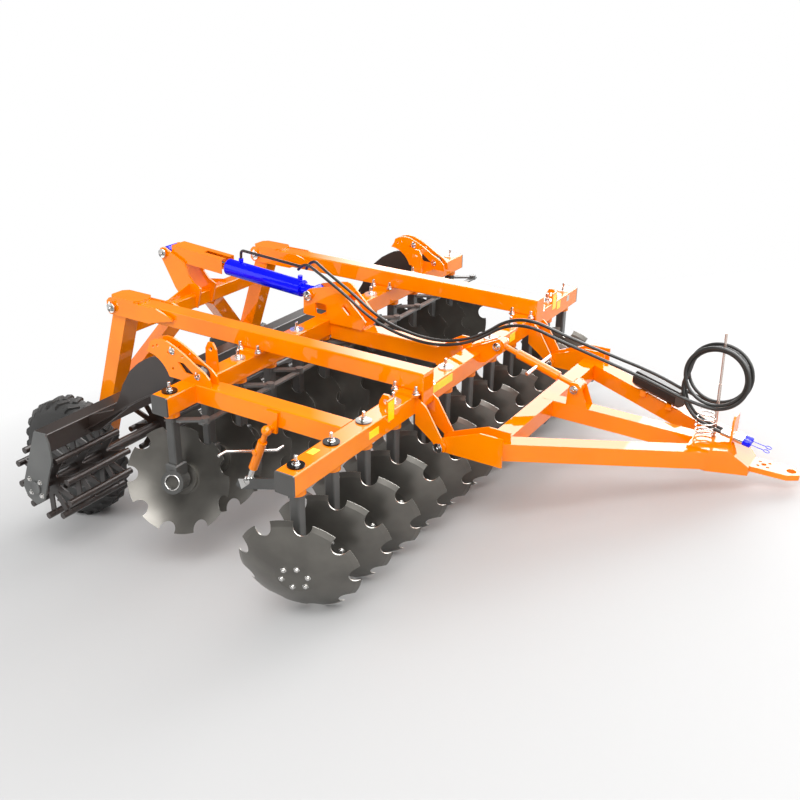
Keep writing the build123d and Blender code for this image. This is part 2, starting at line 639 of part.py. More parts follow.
def wheel(side):
    """Rim with hub, and tyre, for one side."""
    y = side * wheel_offset
    half = tyre_width / 2
    rim_half = half - 32
    inner = rim_radius - 26
    band = [(rim_radius - 12, -rim_half), (rim_radius, -rim_half), (rim_radius, -rim_half + 34),
            (rim_radius - 20, -rim_half + 52), (rim_radius - 20, rim_half - 52), (rim_radius, rim_half - 34),
            (rim_radius, rim_half), (rim_radius - 12, rim_half), (inner - 6, rim_half - 54),
            (inner - 6, -rim_half + 54)]
    rim = revolve(Plane.XY * Polygon(*band, align=None), Axis.Y)
    web_place = side * 30
    rim += Plane.XZ.offset(-web_place) * Pos(0, 0, -7) * Cylinder(inner, 14)
    rim += Plane.XZ * Cylinder(66, 150)
    rim -= Plane.XZ * Cylinder(axle_pin_radius + spindle_clearance, 400)
    shoulder = 46
    crown = [(rim_radius, -rim_half), (rim_radius + 40, -half + 4), (tyre_radius - 96, -half),
             (tyre_radius - shoulder + 8, -half + 14), (tyre_radius - 8, -half + shoulder),
             (tyre_radius, -half + shoulder + 30), (tyre_radius, half - shoulder - 30),
             (tyre_radius - 8, half - shoulder), (tyre_radius - shoulder + 8, half - 14),
             (tyre_radius - 96, half), (rim_radius + 40, half - 4), (rim_radius, rim_half)]
    tyre = revolve(Plane.XY * Polygon(*crown, align=None), Axis.Y)
    here = Pos(axle_x, y, axle_z)
    return here * rim, here * tyre


# Cylinder: modelled along its own axis from the tower pin back to the rod pin
def cylinder_parts():
    dx, dz = rod_pin_x - tower_pin_x, rod_pin_z - tower_pin_z
    length = hypot(dx, dz)
    axis = Plane(origin=(tower_pin_x, 0, tower_pin_z), x_dir=(0, 1, 0), z_dir=(dx, 0, dz))

    def along(start, end, radius):
        return extrude(axis.offset(start) * Circle(radius), amount=end - start)

    barrel = along(barrel_front, barrel_rear, barrel_radius)
    barrel += along(24, barrel_front, 40)
    barrel += cross_pin(tower_pin_x, tower_pin_z, -tower_gap / 2 + 4, tower_gap / 2 - 4, eye_radius)
    barrel -= cross_pin(tower_pin_x, tower_pin_z, -tower_gap, tower_gap, pin_radius + spindle_clearance)
    barrel -= along(barrel_front + 40, barrel_rear + 1, rod_radius + spindle_clearance)
    up = axis.y_dir if axis.y_dir.Z > 0 else axis.y_dir * -1
    ports = []
    for place in (barrel_front + 26, barrel_rear - 112):
        base = axis.offset(place).origin + up * (barrel_radius - 6)
        tip = base + up * 36
        barrel += rod(tuple(base), tuple(tip), 17)
        ports.append(tip)
    pipe_start = tuple(ports[1] - up * 10)
    pipe_bend = tuple(ports[1] + up * 62)
    pipe_end = tuple(ports[0] + up * 66)
    pipe_path = FilletPolyline(pipe_start, pipe_bend, pipe_end, radius=26)
    pipe_section = Plane(origin=pipe_path @ 0, z_dir=pipe_path % 0) * Circle(hose_diameter / 2)
    barrel += sweep(pipe_section, path=pipe_path)

    eye_front = length - 46
    lever_inner = lever_gap / 2
    rod_body = along(barrel_front + 50 + stroke, eye_front, rod_radius)
    rod_body += along(eye_front - 34, length, 38)
    rod_body += cross_pin(rod_pin_x, rod_pin_z, -eye_width / 2, eye_width / 2, eye_radius)
    rod_body += cross_pin(rod_pin_x, rod_pin_z, -lever_inner + 1, lever_inner - 1, pin_radius + 6)
    half, wall = lock_inner_half, lock_wall
    section = Polygon((-half - wall, -42), (-half, -42), (-half, half), (half, half), (half, -42),
                      (half + wall, -42), (half + wall, half + wall), (-half - wall, half + wall), align=None)
    if axis.y_dir.Z < 0:
        section = Rot(0, 0, 180) * section
    block_end = length - 62
    lock = extrude(axis.offset(lock_front) * section, amount=block_end - lock_front)
    slot_centre = axis.offset(lock_front + 100).origin + up * (half + 2)
    slot = Plane(origin=slot_centre, x_dir=axis.z_dir, z_dir=up) * Pos(-40, 0, 0) * Box(300, 48, 40)
    lock -= slot
    bridge = extrude(axis.offset(block_end - 14) * Rectangle(2 * half, 76), amount=14)
    bridge -= along(block_end - 40, block_end + 40, rod_radius + 8)
    return barrel, rod_body, [lock + bridge - along(block_end - 40, block_end + 40, 38.3)]


# Hoses: a run from the cylinder to the coil, the coil, and a tail to the coupler
hose_runs = {
    "hose_a": ((-236, -22, 292), (-150, -66, 372), (14, -122, 334), (136, -134, 280), (257, -134, 212),
               (417, -134, 112), (600, -134, 42), (880, -134, 10), (1098, -134, 54), (1260, -134, 136),
               (1400, -124, 242), (1565, -108, 270), (1760, -92, 208), (2000, -86, 152), (2311, -66, 72),
               (2500, -48, 4), (2669, -44, -18)),
    "hose_b": ((-200, 22, 292), (-110, -30, 396), (30, -90, 356), (150, -102, 300), (275, -102, 232),
               (435, -102, 130), (615, -102, 60), (890, -102, 28), (1110, -102, 76), (1268, -102, 158),
               (1400, -92, 266), (1560, -72, 296), (1760, -54, 234), (2010, -42, 176), (2318, 10, 94),
               (2500, 50, 8), (2669, 44, -18)),
}
hose_tails = {
    "hose_a": ((2487, -20, 164), (2484, -20, 60), (2530, -20, -60), (2620, -20, -136), (2740, -22, -158)),
    "hose_b": ((2487, 20, 164), (2484, 20, 60), (2530, 20, -60), (2620, 20, -136), (2740, 22, -158)),
}


def cord_tube(points):
    """Hose along a chosen route: straight runs joined by arcs, one radius for each corner."""
    vectors = [Vector(*p) for p in points]
    radii = []
    for a, b, c in zip(vectors, vectors[1:], vectors[2:]):
        turn = radians((b - a).get_angle(c - b))
        radii.append(0.45 * min((b - a).length, (c - b).length) / tan(turn / 2))
    path = FilletPolyline(*points, radius=radii)
    section = Plane(origin=path @ 0, z_dir=path % 0) * Circle(hose_diameter / 2)
    tube = sweep(section, path=path)
    print("radii", [round(r) for r in radii], "length", round(path.length),
          "volume share", round(tube.volume / (pi * (hose_diameter / 2)**2 * path.length), 3))
    return tube


def hose_coil(y):
    ring = Circle(coil_radius + hose_diameter / 2) - Circle(coil_radius - hose_diameter / 2)
    return side_shape(Pos(coil_x, coil_z) * ring, y - coil_width / 2, y + coil_width / 2)


def couplers(radius_growth=0):
    """Quick couplers that carry on from the ends of the tails."""
    pieces = []
    for name in ("hose_a", "hose_b"):
        before, end = Vector(*hose_tails[name][-2]), Vector(*hose_tails[name][-1])
        along = (end - before).normalized()
        body = rod(tuple(end), tuple(end + along * 130), coupler_radius + radius_growth)
        if not radius_growth:
            body += rod(tuple(end + along * 88), tuple(end + along * 130), coupler_radius + 5)
        pieces.append(body)
    return pieces


# Write every piece
os.makedirs("parts", exist_ok=True)


def write(name, pieces):
    """Place a node's pieces in the parked attitude and write them to one file."""
    pieces = list(pieces) if isinstance(pieces, (list, tuple)) else [pieces]
    placed = []
    for piece in pieces:
        placed += [placement * solid for solid in piece.solids()]
    shape = placed[0] if len(placed) == 1 else Compound(children=placed)
    export_step(shape, f"parts/{name}.step")


front_beam, rear_beam, beam_caps = cross_beams()
posts, post_mounts = post_parts()
spine, side_beam, beam_clamps = middle_beams()
barrel, rod_body, rod_lock = cylinder_parts()
nodes = {
    "front_beam": front_beam, "rear_beam": rear_beam, "beam_caps": beam_caps, "top_beams": top_beams(),
    "spine": spine, "side_beam": side_beam, "beam_clamps": beam_clamps, "cylinder_tower": tower(),
    "posts": posts, "post_mounts": post_mounts, "tie_linkage": tie_linkage(),
    "angle_adjuster": angle_adjuster(), "roller_sectors": roller_sectors(), "roller_frame": roller_frame(),
    "roller_cage": roller_cage(), "beam_lugs": beam_lugs(), "drawbar": drawbar(),
    "hitch_plate": hitch_plate(), "top_link": top_link(), "tool_tube": tool_tube(),
    "hose_stand": hose_stand(), "wheel_frame": wheel_frame(), "cylinder_barrel": barrel,
    "cylinder_rod": rod_body, "rod_lock": rod_lock, "hose_couplers": couplers(),
}
for side_name, side in (("right", -1), ("left", 1)):
    nodes[f"rim_{side_name}"], nodes[f"tyre_{side_name}"] = wheel(side)
disc = disc_on_axis()
for i in range(post_count):
    nodes[f"disc_front_{i + 1:02d}"] = hub_plane(row_spacing, front_posts_y()[i], "front") * disc
    nodes[f"disc_rear_{i + 1:02d}"] = hub_plane(0, rear_posts_y()[i], "rear") * disc
for name in ("hose_a", "hose_b"):
    nodes[name] = cord_tube(hose_runs[name])
    nodes[f"{name}_tail"] = cord_tube(hose_tails[name])
    nodes[f"{name}_coil"] = hose_coil((hose_runs[name][-1][1] + hose_tails[name][0][1]) / 2)
for name, pieces in nodes.items():
    write(name, pieces)
print("nodes", len(nodes), "park angle", round(degrees(park_angle), 3))
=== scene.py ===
import json
from math import cos, pi, radians, sin
import bmesh
import bpy
from mathutils import Matrix, Vector


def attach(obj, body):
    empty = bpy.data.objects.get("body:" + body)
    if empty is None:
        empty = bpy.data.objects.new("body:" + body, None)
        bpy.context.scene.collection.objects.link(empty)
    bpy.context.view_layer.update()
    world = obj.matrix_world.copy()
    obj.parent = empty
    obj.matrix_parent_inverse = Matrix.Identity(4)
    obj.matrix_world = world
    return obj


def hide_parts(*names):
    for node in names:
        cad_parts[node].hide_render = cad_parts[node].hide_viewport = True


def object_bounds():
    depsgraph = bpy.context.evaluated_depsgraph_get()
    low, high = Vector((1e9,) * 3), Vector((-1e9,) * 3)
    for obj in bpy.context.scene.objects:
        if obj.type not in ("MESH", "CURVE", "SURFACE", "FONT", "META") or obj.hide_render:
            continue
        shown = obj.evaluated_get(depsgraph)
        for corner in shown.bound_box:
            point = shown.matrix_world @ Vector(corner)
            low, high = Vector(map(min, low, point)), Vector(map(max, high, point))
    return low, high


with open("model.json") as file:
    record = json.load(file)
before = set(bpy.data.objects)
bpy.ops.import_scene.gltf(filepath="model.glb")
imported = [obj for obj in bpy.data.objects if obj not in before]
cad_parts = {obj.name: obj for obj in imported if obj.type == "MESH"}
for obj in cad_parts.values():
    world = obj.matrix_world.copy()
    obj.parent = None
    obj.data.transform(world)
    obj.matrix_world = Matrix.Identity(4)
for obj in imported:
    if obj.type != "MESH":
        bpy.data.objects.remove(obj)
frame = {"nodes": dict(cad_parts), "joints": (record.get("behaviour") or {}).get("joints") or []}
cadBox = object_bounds()
nodes = frame["nodes"]
joints = {joint["name"]: joint for joint in frame["joints"]}
print("frame loaded:", len(nodes), "nodes")

# The machine's own level sizes are in millimetres: x forward, y left, z up from the cross beams
parking = {"noseDown": radians(14.033), "eye": Vector((3141, 0, -317))}
tilt = Matrix.Rotation(parking["noseDown"], 3, "Y")


def parked(x, y, z):
    return tilt @ (Vector((x, y, z)) - parking["eye"]) / 1000


def levelled(point):
    return tilt.transposed() @ (point * 1000) + parking["eye"]


def parkedWay(x, y, z):
    return (tilt @ Vector((x, y, z))).normalized()


def standing(point, way):
    # a matrix that takes a piece built upwards from the origin to its place
    aimed = Vector(way).to_track_quat("Z", "Y").to_matrix().to_4x4()
    return Matrix.Translation(point) @ aimed


# Materials
def startMaterial(name, colour, roughness, metallic=0.0):
    material = bpy.data.materials.new(name)
    material.use_nodes = True
    tree = material.node_tree
    shader = tree.nodes["Principled BSDF"]
    shader.inputs["Base Color"].default_value = (*colour, 1)
    shader.inputs["Roughness"].default_value = roughness
    shader.inputs["Metallic"].default_value = metallic
    place = tree.nodes.new("ShaderNodeTexCoord")
    return material, tree, shader, place


def noiseOn(tree, place, scale, detail=4.0):
    noise = tree.nodes.new("ShaderNodeTexNoise")
    noise.inputs["Scale"].default_value = scale
    noise.inputs["Detail"].default_value = detail
    tree.links.new(place.outputs["Object"], noise.inputs["Vector"])
    return noise


def rampOn(tree, source, stops):
    ramp = tree.nodes.new("ShaderNodeValToRGB")
    tree.links.new(source, ramp.inputs["Fac"])
    elements = ramp.color_ramp.elements
    for element, (position, colour) in zip(elements, (stops[0], stops[-1])):
        element.position = position
        element.color = (*colour, 1)
    for position, colour in stops[1:-1]:
        elements.new(position).color = (*colour, 1)
    return ramp


def bumpOn(tree, shader, source, strength, distance):
    bump = tree.nodes.new("ShaderNodeBump")
    bump.inputs["Strength"].default_value = strength
    bump.inputs["Distance"].default_value = distance
    tree.links.new(source, bump.inputs["Height"])
    tree.links.new(bump.outputs["Normal"], shader.inputs["Normal"])


def surface(name, finish):
    # colour drifts a little over the piece, fine grain breaks the shine, and coat is the lacquer
    material, tree, shader, place = startMaterial(name, finish["light"], finish["roughness"],
                                                  finish.get("metallic", 0.0))
    broad = noiseOn(tree, place, finish.get("drift", 3.0), 3.0)
    colours = rampOn(tree, broad.outputs["Fac"], ((0.35, finish["dark"]), (0.65, finish["light"])))
    tree.links.new(colours.outputs["Color"], shader.inputs["Base Color"])
    fine = noiseOn(tree, place, finish.get("grain", 220.0), 6.0)
    shine = tree.nodes.new("ShaderNodeMapRange")
    shine.inputs["To Min"].default_value = finish["roughness"] - finish.get("spread", 0.04)
    shine.inputs["To Max"].default_value = finish["roughness"] + finish.get("spread", 0.04)
    tree.links.new(fine.outputs["Fac"], shine.inputs["Value"])
    tree.links.new(shine.outputs["Result"], shader.inputs["Roughness"])
    bumpOn(tree, shader, fine.outputs["Fac"], finish.get("bump", 0.08), finish.get("depth", 0.0006))
    shader.inputs["Specular IOR Level"].default_value = finish.get("specular", 0.5)
    shader.inputs["Coat Weight"].default_value = finish.get("coat", 0.0)
    shader.inputs["Coat Roughness"].default_value = finish.get("coatRoughness", 0.08)
    return material


finishes = {
    "orangePaint": {"dark": (0.94, 0.225, 0.0), "light": (1.0, 0.262, 0.0), "roughness": 0.4,
                    "coat": 1.0, "coatRoughness": 0.0, "specular": 0.0, "bump": 0.03,
                    "grain": 160.0},
    "darkPaint": {"dark": (0.050, 0.048, 0.046), "light": (0.068, 0.066, 0.062), "roughness": 0.42,
                  "coat": 0.25, "bump": 0.1},
    "blackPaint": {"dark": (0.018, 0.012, 0.010), "light": (0.030, 0.020, 0.016), "roughness": 0.36,
                   "coat": 0.3, "bump": 0.1},
    "greyPaint": {"dark": (0.085, 0.087, 0.085), "light": (0.110, 0.112, 0.108), "roughness": 0.45,
                  "coat": 0.2, "bump": 0.1},
    "postPaint": {"dark": (0.050, 0.050, 0.048), "light": (0.082, 0.082, 0.078), "roughness": 0.4,
                  "coat": 0.3, "bump": 0.1},
    "discSteel": {"dark": (0.120, 0.114, 0.102), "light": (0.160, 0.152, 0.136), "roughness": 0.34,
                  "metallic": 0.72, "bump": 0.1, "drift": 5.0, "coat": 0.1, "spread": 0.07},
    "cutEdge": {"dark": (0.36, 0.35, 0.32), "light": (0.52, 0.50, 0.46), "roughness": 0.28,
                "metallic": 0.9, "grain": 400.0},
    "brightSteel": {"dark": (0.60, 0.59, 0.57), "light": (0.80, 0.79, 0.77), "roughness": 0.2,
                    "metallic": 1.0, "spread": 0.06, "grain": 300.0},
    "wireSteel": {"dark": (0.62, 0.50, 0.44), "light": (0.80, 0.68, 0.62), "roughness": 0.24,
                  "metallic": 0.9},
    "bluePaint": {"dark": (0.0, 0.003, 0.86), "light": (0.002, 0.006, 1.0), "roughness": 0.3,
                  "coat": 0.8, "coatRoughness": 0.0, "specular": 0.0, "bump": 0.03},
    "chromeRod": {"dark": (0.78, 0.78, 0.78), "light": (0.88, 0.88, 0.88), "roughness": 0.08,
                  "metallic": 1.0, "spread": 0.02},
    "tyreRubber": {"dark": (0.016, 0.016, 0.015), "light": (0.030, 0.029, 0.028), "roughness": 0.62,
                   "bump": 0.35, "grain": 120.0, "depth": 0.001},
    "hoseRubber": {"dark": (0.012, 0.012, 0.011), "light": (0.024, 0.023, 0.021), "roughness": 0.38,
                   "coat": 0.15, "bump": 0.2, "grain": 500.0},
    "blackPlastic": {"dark": (0.012, 0.010, 0.009), "light": (0.024, 0.020, 0.018),
                     "roughness": 0.4, "bump": 0.25, "grain": 320.0},
    "yellowLabel": {"dark": (0.92, 0.80, 0.0), "light": (1.0, 0.90, 0.0), "roughness": 0.35,
                    "coat": 0.4},
    "greyLabel": {"dark": (0.55, 0.50, 0.45), "light": (0.66, 0.60, 0.54), "roughness": 0.4,
                  "coat": 0.3},
}
paint = {name: surface(name, finish) for name, finish in finishes.items()}
print("materials made:", len(paint))

# Mirror-bright plates with a painted reflection: their colour runs from near black at the near end, where
# they reflect the dark discs, to near white at the far end, where they reflect the pale room
material, tree, shader, place = startMaterial("paintedReflectionPlate", (0.5, 0.5, 0.5), 0.1, 0.55)
across = tree.nodes.new("ShaderNodeSeparateXYZ")
tree.links.new(place.outputs["Object"], across.inputs["Vector"])
span = tree.nodes.new("ShaderNodeMapRange")
beamReach = 1.9
span.inputs["From Min"].default_value = -beamReach
span.inputs["From Max"].default_value = beamReach
tree.links.new(across.outputs["Y"], span.inputs["Value"])
paintedReflectionStops = ((0.0, (0.010, 0.010, 0.010)), (0.14, (0.015, 0.014, 0.013)),
               (0.20, (0.55, 0.52, 0.48)), (1.0, (0.95, 0.93, 0.90)))
paintedReflectionRamp = rampOn(tree, span.outputs["Result"], paintedReflectionStops)
tree.links.new(paintedReflectionRamp.outputs["Color"], shader.inputs["Base Color"])
paint["paintedReflectionPlate"] = material

nodeFinish = {
    "orangePaint": ("front_beam", "rear_beam", "top_beams", "spine", "side_beam", "beam_clamps",
                    "cylinder_tower", "post_mounts", "roller_sectors", "beam_lugs", "drawbar",
                    "hitch_plate", "top_link", "angle_adjuster", "wheel_frame", "rod_lock"),
    "darkPaint": ("beam_caps", "rim_right", "rim_left"),
    "postPaint": ("posts",),
    "blackPaint": ("roller_frame", "roller_cage"),
    "greyPaint": ("tie_linkage",),
    "bluePaint": ("cylinder_barrel",),
    "chromeRod": ("cylinder_rod",),
    "tyreRubber": ("tyre_right", "tyre_left"),
    "blackPlastic": ("tool_tube",),
    "wireSteel": ("hose_stand",),
    "brightSteel": ("hose_couplers",),
    "hoseRubber": ("hose_a", "hose_a_coil", "hose_a_tail", "hose_b", "hose_b_coil", "hose_b_tail"),
}


def dress(node, *names):
    nodes[node].data.materials.clear()
    for name in names:
        nodes[node].data.materials.append(paint[name])


def recolour(node, index, chosen):
    # faces whose middle passes the test take another of the node's finishes
    for face in nodes[node].data.polygons:
        if chosen(face.center, face.normal):
            face.material_index = index


for name, members in nodeFinish.items():
    for node in members:
        dress(node, name)

# Discs: dark faces, bright ground bevel and notch walls
discSizes = {"wallFrom": 0.200, "flatSide": 0.35}
for joint in frame["joints"]:
    if not joint["name"].startswith("disc_"):
        continue
    node = joint["child"]
    dress(node, "discSteel", "cutEdge", "postPaint")
    centre, way = Vector(joint["pos_m"]), Vector(joint["axis"]).normalized()

    def ground(point, normal):
        along = (point - centre).dot(way)
        reach = (point - centre - along * way).length
        lean = normal.dot(way)
        return abs(lean) < discSizes["flatSide"] and reach > discSizes["wallFrom"]

    recolour(node, 1, ground)
print("CAD nodes painted")

dress("roller_frame", "blackPaint", "greyPaint")
recolour("roller_frame", 1, lambda point, normal: abs(point.y) > 1.726)
dress("hose_stand", "wireSteel", "orangePaint")
recolour("hose_stand", 1, lambda point, normal: levelled(point).x > 2770)
dress("angle_adjuster", "orangePaint", "brightSteel", "postPaint")
adjusterParts = {"side": -1480, "handle": (560, -262), "screwRadius": 30, "ball": (483, -470),
                 "ballRadius": 50, "leverTop": -360, "sleeve": ((520, -382), (600, -193))}


def onSleeve(spot):
    # the wide middle of the turnbuckle keeps its paint
    low, high = (Vector(end) for end in adjusterParts["sleeve"])
    way = (high - low).normalized()
    offset = Vector((spot.x, spot.z)) - low
    along = offset.dot(way)
    away = (offset - along * way).length
    near = abs(spot.y - adjusterParts["side"]) < adjusterParts["screwRadius"]
    return near and away < adjusterParts["screwRadius"] and 0 < along < (high - low).length


def isScrew(point, normal):
    spot = levelled(point)
    beside = abs(spot.y - adjusterParts["side"])
    handleX, handleZ = adjusterParts["handle"]
    if abs(spot.x - handleX) < 14 and abs(spot.z - handleZ) < 14 and beside > adjusterParts["screwRadius"]:
        return True
    ballX, ballZ = adjusterParts["ball"]
    if (Vector((spot.x - ballX, spot.z - ballZ)).length < adjusterParts["ballRadius"]) and beside < 40:
        return True
    return beside < 20 and -400 > spot.z > -470


recolour("angle_adjuster", 1, isScrew)
recolour("angle_adjuster", 2, lambda point, normal: levelled(point).z < adjusterParts["leverTop"] and
         not isScrew(point, normal) and not onSleeve(levelled(point)))
# the tops of the post mounts take the plate finish with its painted reflection, dark near and white far
dress("post_mounts", "orangePaint", "paintedReflectionPlate")
recolour("post_mounts", 1, lambda point, normal: levelled(point).z > 1)
dress("top_link", "orangePaint", "brightSteel")
recolour("top_link", 1, lambda point, normal: abs(point.y) > 0.048)
dress("cylinder_barrel", "bluePaint", "blackPaint")
cylinderLine = {"low": (-108, 145), "high": (-1450, 233), "bore": 94}


def offCylinder(point, normal):
    # the feed pipe runs above the barrel
    spot = levelled(point)
    low, high = Vector(cylinderLine["low"]), Vector(cylinderLine["high"])
    share = (spot.x - low.x) / (high.x - low.x)
    line = low.y + share * (high.y - low.y)
    return spot.z - line > cylinderLine["bore"]


recolour("cylinder_barrel", 1, offCylinder)
dress("cylinder_rod", "chromeRod", "bluePaint")
eyePoint = parked(-1450, 0, 233)
recolour("cylinder_rod", 1, lambda point, normal: (point - eyePoint).length < 0.13 and abs(point.y) < 0.056)


# Tools for modelling
def deselectAll():
    if bpy.context.object and bpy.context.object.mode != "OBJECT":
        bpy.ops.object.mode_set(mode="OBJECT")
    bpy.ops.object.select_all(action="DESELECT")


def applied(piece):
    deselectAll()
    piece.select_set(True)
    bpy.context.view_layer.objects.active = piece
    bpy.ops.object.transform_apply(location=True, rotation=True, scale=True)
    return piece


def cylinder(name, radius, low, high, sides=24):
    # a round or many-sided bar that stands on the origin's axis
    deselectAll()
    bpy.ops.mesh.primitive_cylinder_add(vertices=sides, radius=radius, depth=high - low,
                                        location=(0, 0, (low + high) / 2))
    piece = bpy.context.object
    piece.name = name
    return applied(piece)


def block(name, width, depth, height, centre=(0, 0, 0)):
    deselectAll()
    bpy.ops.mesh.primitive_cube_add(size=1, location=centre, scale=(width, depth, height))
    piece = bpy.context.object
    piece.name = name
    return applied(piece)


def bevelled(piece, width, segments=1):
    deselectAll()
    piece.select_set(True)
    bpy.context.view_layer.objects.active = piece
    edge = piece.modifiers.new("edge", "BEVEL")
    edge.width, edge.segments, edge.limit_method = width, segments, "ANGLE"
    bpy.ops.object.modifier_apply(modifier=edge.name)
    return piece


def insetTop(piece, border, depth):
    # the top face is drawn in and pushed down or up
    deselectAll()
    piece.select_set(True)
    bpy.context.view_layer.objects.active = piece
    bpy.ops.object.mode_set(mode="EDIT")
    bpy.ops.mesh.select_mode(type="FACE")
    bpy.ops.mesh.select_all(action="DESELECT")
    bpy.ops.object.mode_set(mode="OBJECT")
    top = max(piece.data.polygons, key=lambda face: (round(face.center.z, 5), face.area))
    top.select = True
    bpy.ops.object.mode_set(mode="EDIT")
    bpy.ops.mesh.inset(thickness=border, depth=depth)
    bpy.ops.object.mode_set(mode="OBJECT")
    return piece


def joined(name, pieces):
    deselectAll()
    for piece in pieces:
        piece.select_set(True)
    bpy.context.view_layer.objects.active = pieces[0]
    bpy.ops.object.join()
    bpy.context.object.name = name
    return bpy.context.object


def finished(piece, material, body, angle=35):
    piece.data.materials.clear()
    piece.data.materials.append(paint[material])
    deselectAll()
    piece.select_set(True)
    bpy.context.view_layer.objects.active = piece
    bpy.ops.object.shade_smooth_by_angle(angle=radians(angle))
    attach(piece, body)
    return piece


def repeated(name, pattern, matrices, material, body, angle=35):
    # one pattern piece, copied to each place and joined
    copies = []
    for matrix in matrices:
        copy = pattern.copy()
        copy.data = pattern.data.copy()
        copy.data.transform(matrix)
        bpy.context.scene.collection.objects.link(copy)
        copies.append(copy)
    bpy.data.objects.remove(pattern)
    return finished(joined(name, copies), material, body, angle)


# Fasteners
def nutOnStud(size, standing=1.6):
    washer = bevelled(cylinder("washer", size * 1.25, 0, size * 0.18, 28), size * 0.04)
    nut = bevelled(cylinder("nut", size, size * 0.18, size * 1.0, 6), size * 0.1, 2)
    stud = bevelled(cylinder("stud", size * 0.52, size * 0.9, size * standing, 16), size * 0.1)
    return joined("fastener", [washer, nut, stud])


def hexBolt(size):
    washer = bevelled(cylinder("washer", size * 1.3, 0, size * 0.16, 28), size * 0.04)
    head = bevelled(cylinder("head", size, size * 0.16, size * 0.85, 6), size * 0.12, 2)
    return joined("fastener", [washer, insetTop(head, size * 0.12, -size * 0.03)])


def pinHead(radius):
    collar = bevelled(cylinder("collar", radius, 0, radius * 0.3, 36), radius * 0.05, 2)
    collar = insetTop(insetTop(collar, radius * 0.22, -radius * 0.1), radius * 0.3, radius * 0.22)
    bolt = bevelled(cylinder("bolt", radius * 0.3, radius * 0.3, radius * 0.62, 6), radius * 0.05)
    return joined("pinHead", [collar, bolt])


clampBolts = {"rows": (0, 1150), "beams": (-768, 768), "fore": 70, "aside": 88,
              "plateTop": 17, "size": 0.019}
places = [standing(parked(x + i * clampBolts["fore"], y + j * clampBolts["aside"], clampBolts["plateTop"]),
                   parkedWay(0, 0, 1))
          for x in clampBolts["rows"] for y in clampBolts["beams"] for i in (-1, 1) for j in (-1, 1)]
repeated("clampNuts", nutOnStud(clampBolts["size"], 2.6), places, "brightSteel", "frame")

postNuts = {"front": (1150, -1886), "rear": (0, -1567), "spacing": 300, "count": 12,
            "plateTop": 9, "size": 0.017}


def plateIsBare(row, y):
    # no clamp, tower, sector or lug sits over this post
    clear = abs(abs(y) - 768) >= 165
    if row == "rear":
        return clear and abs(y) >= 128 and abs(abs(y) - 1370) >= 87
    return clear and abs(y) >= 96


places = []
for row in ("front", "rear"):
    x, firstY = postNuts[row]
    for i in range(postNuts["count"]):
        y = firstY + postNuts["spacing"] * i
        if plateIsBare(row, y):
            places.append(standing(parked(x, y, postNuts["plateTop"]), parkedWay(0, 0, 1)))
repeated("postNuts", nutOnStud(postNuts["size"], 3.0), places, "brightSteel", "frame")

discBolts = {"circle": 0.075, "count": 6, "face": 0.088, "size": 0.0125}
for joint in frame["joints"]:
    if joint["name"].startswith("disc_"):
        hub = standing(Vector(joint["pos_m"]), joint["axis"])
        places = []
        for i in range(discBolts["count"]):
            angle = 2 * pi * i / discBolts["count"]
            spot = Vector((discBolts["circle"] * cos(angle), discBolts["circle"] * sin(angle),
                           discBolts["face"]))
            places.append(hub @ Matrix.Translation(spot))
        disc = joint["child"]
        repeated(disc + "_bolts", hexBolt(discBolts["size"]), places, "brightSteel", disc)
print("disc bolts fitted")

# Pin heads at the pivots: place in the side view, half-width and side, radius, body
pins = (
    ("hingePins", ((-1206, 72),), (-864, -672, 672, 864), 0.036, "wheel_frame"),
    ("towerPins", ((-108, 145),), (-92, 92), 0.034, "frame"),
    ("leverPins", ((-1450, 233),), (-103, 103), 0.034, "wheel_frame"),
    ("drawbarPins", ((1372, -285),), (-852, -684, 684, 852), 0.030, "frame"),
    ("linkPins", ((1328, 67), (1857, -98)), (-58, 58), 0.026, "frame"),
    ("sectorPins", ((74, 53), (-113, 172)), (-1407, -1333, 1333, 1407), 0.022, "frame"),
)
for name, spots, widths, radius, body in pins:
    places = []
    for x, z in spots:
        for width in widths:
            inner = {-672: 1, 672: -1, -684: 1, 684: -1, -1333: 1, 1333: -1}.get(width)
            way = inner if inner else (1 if width > 0 else -1)
            places.append(standing(parked(x, width, z), (0, way, 0)))
    repeated(name, pinHead(radius), places, "brightSteel", body)

# Roller bearings: four bolts on each end plate
rollerBolts = {"x": -1120, "z": -895, "face": 1740, "circle": 70, "size": 0.014}
places = []
for side in (-1, 1):
    for i in range(4):
        angle = radians(45 + 90 * i)
        spot = parked(rollerBolts["x"] + rollerBolts["circle"] * cos(angle), side * rollerBolts["face"],
                      rollerBolts["z"] + rollerBolts["circle"] * sin(angle))
        places.append(standing(spot, (0, side, 0)))
repeated("rollerBolts", hexBolt(rollerBolts["size"]), places, "brightSteel", "frame")
bearing = insetTop(bevelled(cylinder("bearing", 0.046, 0, 0.012, 40), 0.003, 2), 0.012, -0.004)
places = [standing(parked(rollerBolts["x"], side * rollerBolts["face"], rollerBolts["z"]), (0, side, 0))
          for side in (-1, 1)]
repeated("bearingCovers", bearing, places, "greyPaint", "frame")

# Hubs of the rear row: bright seal rings inside the dark housings
hubRing = {"back": -0.078, "outer": 0.045, "depth": 0.004}
places = []
for joint in frame["joints"]:
    if joint["name"].startswith("disc_"):
        way = -Vector(joint["axis"]).normalized()
        places.append(standing(Vector(joint["pos_m"]) - way * hubRing["back"], way))
deselectAll()
bpy.ops.mesh.primitive_torus_add(major_radius=hubRing["outer"], minor_radius=hubRing["depth"],
                                 major_segments=36, minor_segments=8)
repeated("hubRings", applied(bpy.context.object), places, "brightSteel", "frame", 60)
print("fasteners fitted")

# Tyres: a carcass turned round the axle with block lugs; both stand for the plain CAD tyres
tyreSizes = {"radius": 0.451, "half": 0.124, "rim": 0.235, "lugHeight": 0.017, "lugCount": 26,
             "lugLength": 0.086, "lugWidth": 0.040, "lugTurn": 26, "floorRoom": 0.0026}


